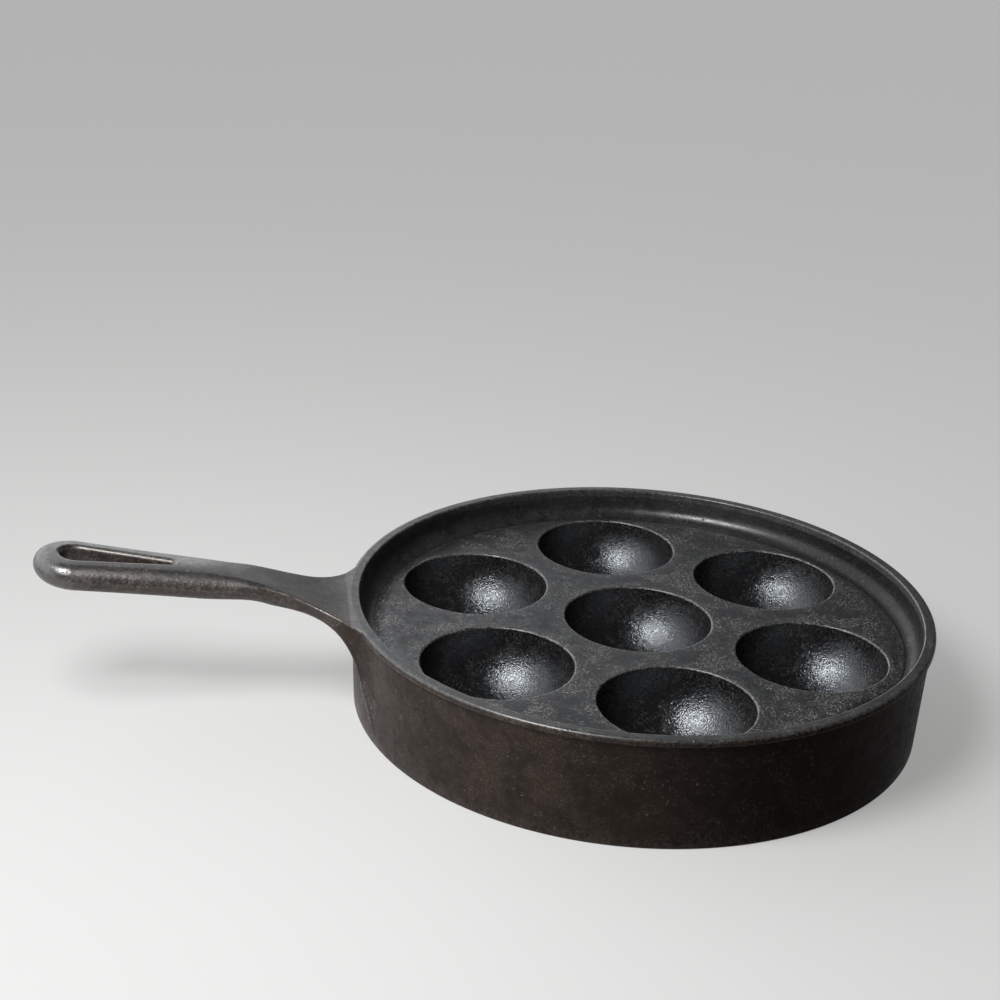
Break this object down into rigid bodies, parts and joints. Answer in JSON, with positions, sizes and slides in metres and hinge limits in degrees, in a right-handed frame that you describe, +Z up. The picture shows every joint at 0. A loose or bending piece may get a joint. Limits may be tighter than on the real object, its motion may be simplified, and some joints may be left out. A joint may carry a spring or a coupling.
{
  "type": "aebleskiver pan",
  "caption": "Cast-iron pan with round wells in a rimmed deck for baking pancake balls, and an arched handle with a teardrop hanging slot.",
  "frame": {"origin": "on the table, under the middle of the overall length from the handle's end to the far side of the rim", "axes": "+Z up, the handle runs along -X, the pan's round axis is at positive X"},
  "size_m": [0.3552, 0.235, 0.068],
  "materials": {
    "wall_iron": "seasoned as-cast iron, brown-black, satin with fine pits",
    "rim_iron": "seasoned iron, charcoal, worn lighter along the edges",
    "deck_iron": "machined and seasoned iron, charcoal, satin with fine scratches",
    "well_iron": "seasoned iron, near black, fine leathery grain with a soft sheen",
    "handle_iron": "seasoned as-cast iron, grey-brown, satin on top and grainy at the sides"
  },
  "bodies": {
    "root": {"skirt_ring": "wall_iron", "tray_wall": "wall_iron", "rim_bead": "rim_iron", "deck_plate": "deck_iron", "cup_centre": "well_iron", "cup_1": "well_iron", "cup_2": "well_iron", "cup_3": "well_iron", "cup_4": "well_iron", "cup_5": "well_iron", "cup_6": "well_iron", "handle_root": "handle_iron", "handle_grip": "handle_iron"}
  },
  "joints": []
}
